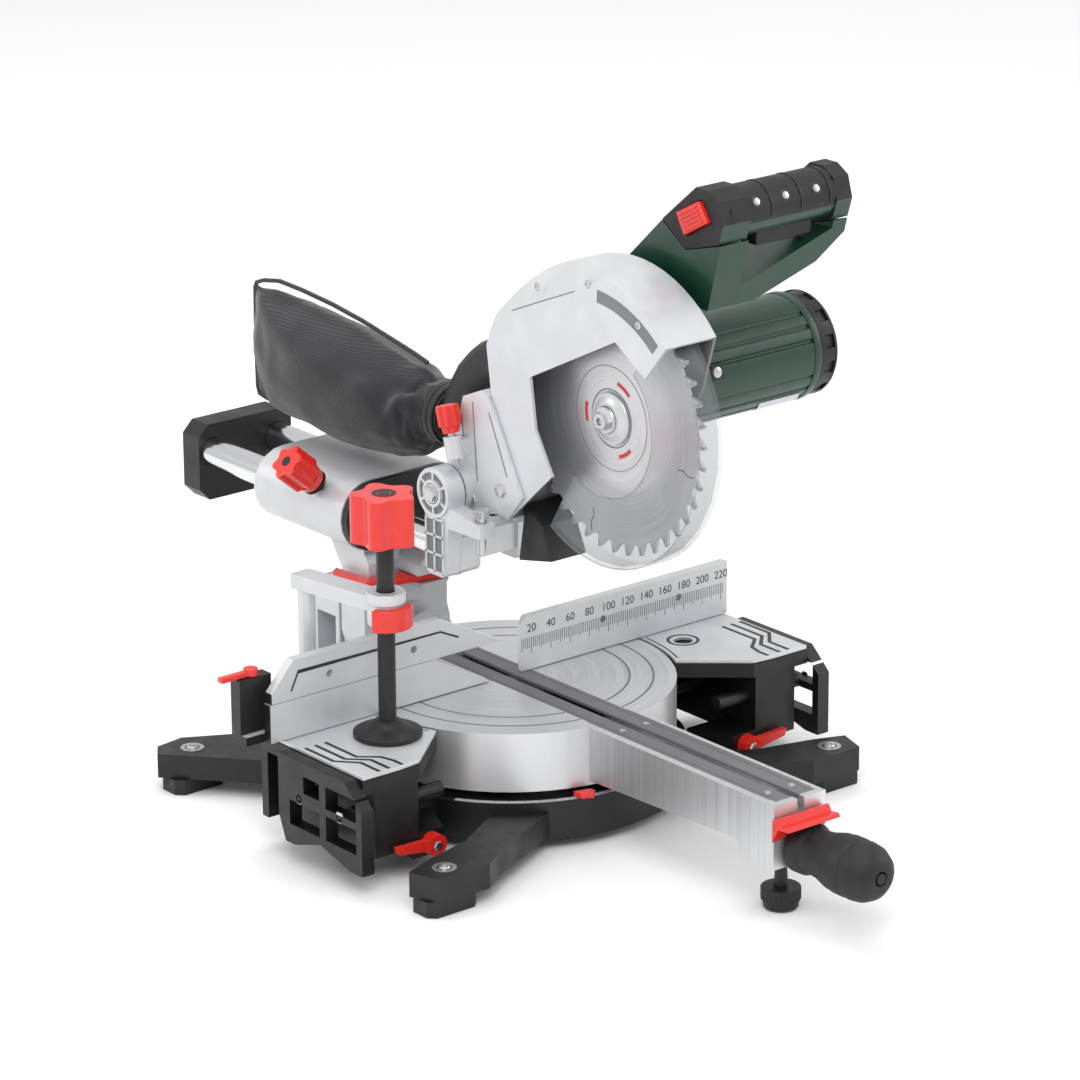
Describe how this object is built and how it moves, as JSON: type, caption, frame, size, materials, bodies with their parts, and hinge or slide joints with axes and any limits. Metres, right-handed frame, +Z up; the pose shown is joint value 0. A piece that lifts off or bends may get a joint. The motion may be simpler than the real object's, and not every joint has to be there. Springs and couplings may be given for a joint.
{
  "type": "sliding compound mitre saw",
  "caption": "Bench-top sliding mitre saw: turntable with kerf slot, split fences, twin slide rails, tilting guarded saw head, motor, D-handle, work clamp and dust bag.",
  "frame": {"origin": "on the turntable axis at bench level, centre of the flat hub face under the base", "axes": "+X to the operator's right, +Y away from the operator along the kerf slot, +Z up"},
  "size_m": [0.508, 0.809, 0.524],
  "materials": {
    "black_casting": "black powder-coated aluminium casting",
    "silver_casting": "silver lacquered aluminium casting",
    "machined_aluminium": "machined aluminium table tops",
    "bright_steel": "ground and polished steel rails",
    "plain_steel": "turned and pressed steel",
    "blade_steel": "ground steel blade body",
    "black_plastic": "fine-grained black moulding",
    "grey_plastic": "matt grey kerf insert",
    "red_plastic": "satin red moulding",
    "green_plastic": "dark green moulded housing",
    "soft_rubber": "soft black grip",
    "clear_plastic": "clear polycarbonate",
    "dust_cloth": "charcoal woven polyester",
    "copper_windings": "laminated core with copper windings"
  },
  "bodies": {
    "base": {"base_casting": "black_casting", "table_plate_left": "machined_aluminium", "table_plate_right": "machined_aluminium", "fence_fixed_left": "silver_casting", "fence_right": "silver_casting"},
    "sliding_fence": {"fence_slide_left": "silver_casting"},
    "fence_lever": {"fence_lock_lever": "red_plastic"},
    "table_left": {"table_end_left": "black_casting"},
    "table_right": {"table_end_right": "black_casting"},
    "table_lever_left": {"table_lever_left": "red_plastic"},
    "table_lever_right": {"table_lever_right": "red_plastic"},
    "clamp": {"clamp_holder": "silver_casting"},
    "clamp_screw": {"clamp_spindle": "black_plastic"},
    "clamp_knob": {"clamp_knob": "red_plastic"},
    "clamp_release": {"clamp_release": "red_plastic"},
    "turntable": {"turntable": "silver_casting", "kerf_insert_left": "grey_plastic", "kerf_insert_right": "grey_plastic", "mitre_pointer": "red_plastic", "bevel_yoke": "silver_casting", "bevel_shaft": "plain_steel"},
    "mitre_grip": {"mitre_grip": "black_plastic"},
    "detent_lever": {"detent_lever": "red_plastic"},
    "arm_foot": {"arm_foot": "black_plastic"},
    "bevel_arm": {"bevel_arm": "silver_casting", "rail_guide_plate": "black_plastic"},
    "rail_lock": {"rail_lock_knob": "red_plastic"},
    "bevel_stop": {"bevel_stop_lever": "red_plastic"},
    "bevel_lock": {"bevel_lock_lever": "black_plastic"},
    "carriage": {"rail_left": "bright_steel", "rail_right": "bright_steel", "rail_end_cap": "black_plastic", "head_carrier": "silver_casting", "head_pivot_pin": "plain_steel", "head_spring": "plain_steel"},
    "depth_stop": {"depth_stop_screw": "plain_steel"},
    "head": {"upper_guard": "silver_casting", "gear_casing": "silver_casting", "motor_housing": "green_plastic", "motor_end_cap": "black_plastic", "stator": "plain_steel", "motor_bearing_front": "plain_steel", "motor_bearing_rear": "plain_steel", "spindle_bearing": "plain_steel", "handle_body": "green_plastic", "handle_grip": "soft_rubber", "dust_chute": "black_plastic", "dust_elbow": "black_plastic", "dust_bag": "dust_cloth"},
    "blade": {"spindle": "plain_steel", "gear_wheel": "plain_steel", "saw_blade": "blade_steel", "outer_flange": "plain_steel", "blade_bolt": "plain_steel"},
    "armature": {"armature": "copper_windings"},
    "lower_guard": {"lower_guard": "clear_plastic"},
    "trigger": {"trigger": "black_plastic"},
    "release_left": {"release_lever_left": "red_plastic"},
    "release_right": {"release_lever_right": "red_plastic"},
    "transport_lock": {"transport_lock": "red_plastic"}
  },
  "joints": [
    {"name": "mitre_turn", "type": "hinge", "parent": "base", "child": "turntable", "pos_m": [0, 0, 0.05], "axis": [0, 0, 1], "range_deg": [-47, 47]},
    {"name": "fence_slide", "type": "slide", "parent": "base", "child": "sliding_fence", "axis": [-1, 0, 0], "range_m": [0, 0.06]},
    {"name": "fence_lever_turn", "type": "hinge", "parent": "base", "child": "fence_lever", "pos_m": [-0.241, 0.0206, 0.149], "axis": [0, 0, 1], "range_deg": [-35, 0]},
    {"name": "table_left_pull", "type": "slide", "parent": "base", "child": "table_left", "axis": [-1, 0, 0], "range_m": [0, 0.06]},
    {"name": "table_right_pull", "type": "slide", "parent": "base", "child": "table_right", "axis": [1, 0, 0], "range_m": [0, 0.06]},
    {"name": "table_lever_left_turn", "type": "hinge", "parent": "base", "child": "table_lever_left", "pos_m": [-0.1613, -0.1, 0.0242], "axis": [0, 1, 0], "range_deg": [0, 45]},
    {"name": "table_lever_right_turn", "type": "hinge", "parent": "base", "child": "table_lever_right", "pos_m": [0.1613, -0.1, 0.0242], "axis": [0, 1, 0], "range_deg": [-45, 0]},
    {"name": "clamp_lift", "type": "slide", "parent": "base", "child": "clamp", "axis": [0, 0, 1], "range_m": [0, 0.3]},
    {"name": "clamp_feed", "type": "slide", "parent": "clamp", "child": "clamp_screw", "axis": [0, 0, 1], "range_m": [0, 0.045]},
    {"name": "clamp_knob_turn", "type": "hinge", "parent": "clamp_screw", "child": "clamp_knob", "pos_m": [-0.1564, -0.0407, 0.27], "axis": [0, 0, 1], "continuous": true},
    {"name": "clamp_release_turn", "type": "hinge", "parent": "clamp", "child": "clamp_release", "pos_m": [-0.1564, -0.0407, 0.193], "axis": [0, 0, 1], "range_deg": [0, 30]},
    {"name": "mitre_grip_turn", "type": "hinge", "parent": "turntable", "child": "mitre_grip", "pos_m": [0, -0.35, 0.0565], "axis": [0, 1, 0], "continuous": true},
    {"name": "detent_lift", "type": "hinge", "parent": "turntable", "child": "detent_lever", "pos_m": [0, -0.3435, 0.084], "axis": [1, 0, 0], "range_deg": [-15, 0], "stiffness_Nm_per_rad": 0.2, "springref_deg": 17.19},
    {"name": "arm_foot_set", "type": "slide", "parent": "turntable", "child": "arm_foot", "axis": [0, 0, 1], "range_m": [0, 0.006]},
    {"name": "bevel_tilt", "type": "hinge", "parent": "turntable", "child": "bevel_arm", "pos_m": [0, 0.15, 0.094], "axis": [0, -1, 0], "range_deg": [0, 26]},
    {"name": "bevel_lock_turn", "type": "hinge", "parent": "turntable", "child": "bevel_lock", "pos_m": [0, 0.22, 0.094], "axis": [0, 1, 0], "range_deg": [-35, 0]},
    {"name": "rail_lock_turn", "type": "hinge", "parent": "bevel_arm", "child": "rail_lock", "pos_m": [-0.062, 0.176, 0.2252], "axis": [-0.7619, 0, 0.6476], "continuous": true},
    {"name": "bevel_stop_pull", "type": "slide", "parent": "bevel_arm", "child": "bevel_stop", "axis": [1, 0, 0], "range_m": [-0.008, 0]},
    {"name": "carriage_slide", "type": "slide", "parent": "bevel_arm", "child": "carriage", "axis": [0, -1, 0], "range_m": [-0.084, 0.097]},
    {"name": "depth_stop_set", "type": "slide", "parent": "carriage", "child": "depth_stop", "axis": [0, 0, 1], "range_m": [-0.003, 0.006]},
    {"name": "head_swing", "type": "hinge", "parent": "carriage", "child": "head", "pos_m": [0, 0.0277, 0.2516], "axis": [-1, 0, 0], "range_deg": [-48, 0], "stiffness_Nm_per_rad": 7, "springref_deg": 108.86},
    {"name": "blade_spin", "type": "hinge", "parent": "head", "child": "blade", "pos_m": [0, -0.1246, 0.3383], "axis": [1, 0, 0], "continuous": true},
    {"name": "armature_spin", "type": "hinge", "parent": "head", "child": "armature", "pos_m": [0, -0.0936, 0.3493], "axis": [1, 0, 0], "continuous": true},
    {"name": "lower_guard_turn", "type": "hinge", "parent": "head", "child": "lower_guard", "pos_m": [0, -0.1246, 0.3383], "axis": [1, 0, 0], "range_deg": [-113, 0]},
    {"name": "trigger_press", "type": "slide", "parent": "head", "child": "trigger", "axis": [0, 0, 1], "range_m": [0, 0.004], "stiffness_N_per_m": 600, "springref_m": -0.004},
    {"name": "release_left_press", "type": "slide", "parent": "head", "child": "release_left", "axis": [1, 0, 0], "range_m": [0, 0.0035], "stiffness_N_per_m": 500, "springref_m": -0.003},
    {"name": "release_right_press", "type": "slide", "parent": "head", "child": "release_right", "axis": [-1, 0, 0], "range_m": [0, 0.0035], "stiffness_N_per_m": 500, "springref_m": -0.003},
    {"name": "transport_lock_pull", "type": "slide", "parent": "head", "child": "transport_lock", "axis": [0, 0.2246, 0.9745], "range_m": [0, 0.012]}
  ],
  "couplings": [
    {"joint": "armature_spin", "follows": "blade_spin", "ratio": -3.8},
    {"joint": "lower_guard_turn", "follows": "head_swing", "ratio": 2.3542}
  ]
}
